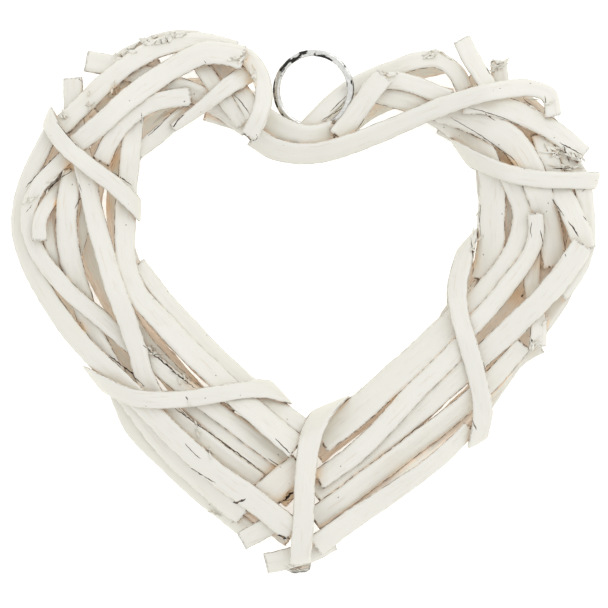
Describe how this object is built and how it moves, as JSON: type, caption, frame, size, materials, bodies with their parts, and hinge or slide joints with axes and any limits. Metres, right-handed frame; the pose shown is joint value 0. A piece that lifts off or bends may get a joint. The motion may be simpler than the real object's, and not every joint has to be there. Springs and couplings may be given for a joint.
{
  "type": "wicker heart wreath",
  "caption": "Heart-shaped wreath of white-washed split willow canes bound with cane wraps, with a split key ring at its notch.",
  "frame": {"origin": "middle of the bounding box at the plane the heart rests on when it lies on its back", "axes": "+X to the heart's right as seen from the front, +Y from its tip to its notch, +Z out of its front"},
  "size_m": [0.2006, 0.1852, 0.0294],
  "materials": {
    "white_cane": "chalky white wash on split willow",
    "grey_cane": "thin greyish wash on split willow",
    "bare_cane": "bare dry willow",
    "ring_metal": "bright plated steel wire"
  },
  "bodies": {
    "root": {"left_crown_cane_outer": "white_cane", "left_crown_cane_inner": "white_cane", "left_rim_cane": "white_cane", "left_sweeping_cane": "white_cane", "left_bent_cane": "white_cane", "left_upright_cane": "white_cane", "left_slanting_cane": "white_cane", "left_inner_cane": "white_cane", "left_inner_edge_cane": "grey_cane", "left_shoulder_cane_inner": "grey_cane", "left_shoulder_cane_upper": "white_cane", "left_leg_cane_middle": "white_cane", "left_leg_cane_outer": "white_cane", "notch_cane_long": "white_cane", "notch_cane_middle": "white_cane", "notch_cane_right": "white_cane", "notch_cane_upper": "white_cane", "neck_tie_cane": "white_cane", "neck_cane_wide": "white_cane", "neck_cane_slanting": "white_cane", "neck_cane_long": "white_cane", "neck_cane_ring": "white_cane", "right_crown_cane_inner": "white_cane", "right_crown_cane_lower": "white_cane", "right_crown_cane_stub": "white_cane", "right_crown_cane_torn": "white_cane", "right_shoulder_cane_outer": "white_cane", "right_slanting_cane": "white_cane", "right_side_cane": "white_cane", "right_rim_cane": "white_cane", "right_inner_cane": "white_cane", "right_lobe_cane_crossing": "white_cane", "right_lobe_cane_bowed": "white_cane", "right_lobe_cane_lower": "white_cane", "right_long_cane": "white_cane", "right_leg_cane_inner": "white_cane", "right_leg_cane_second": "white_cane", "right_leg_cane_fourth": "white_cane", "right_leg_cane_outer": "white_cane", "tip_cane_left": "white_cane", "tip_cane_upper": "white_cane", "tip_cane_bottom": "white_cane", "back_left_cane_outer": "bare_cane", "back_left_cane_middle": "bare_cane", "back_left_cane_inner": "bare_cane", "back_neck_cane_upper": "grey_cane", "back_neck_cane_lower": "bare_cane", "back_right_cane_outer": "bare_cane", "back_right_cane_middle": "bare_cane", "back_right_cane_inner": "bare_cane", "back_left_cane_crossing": "bare_cane", "back_right_cane_crossing": "bare_cane", "hanging_ring": "ring_metal", "left_lobe_wrap": "white_cane", "left_leg_wrap": "white_cane", "tip_wrap": "white_cane", "right_leg_wrap": "white_cane", "right_lobe_wrap": "white_cane"}
  },
  "joints": []
}
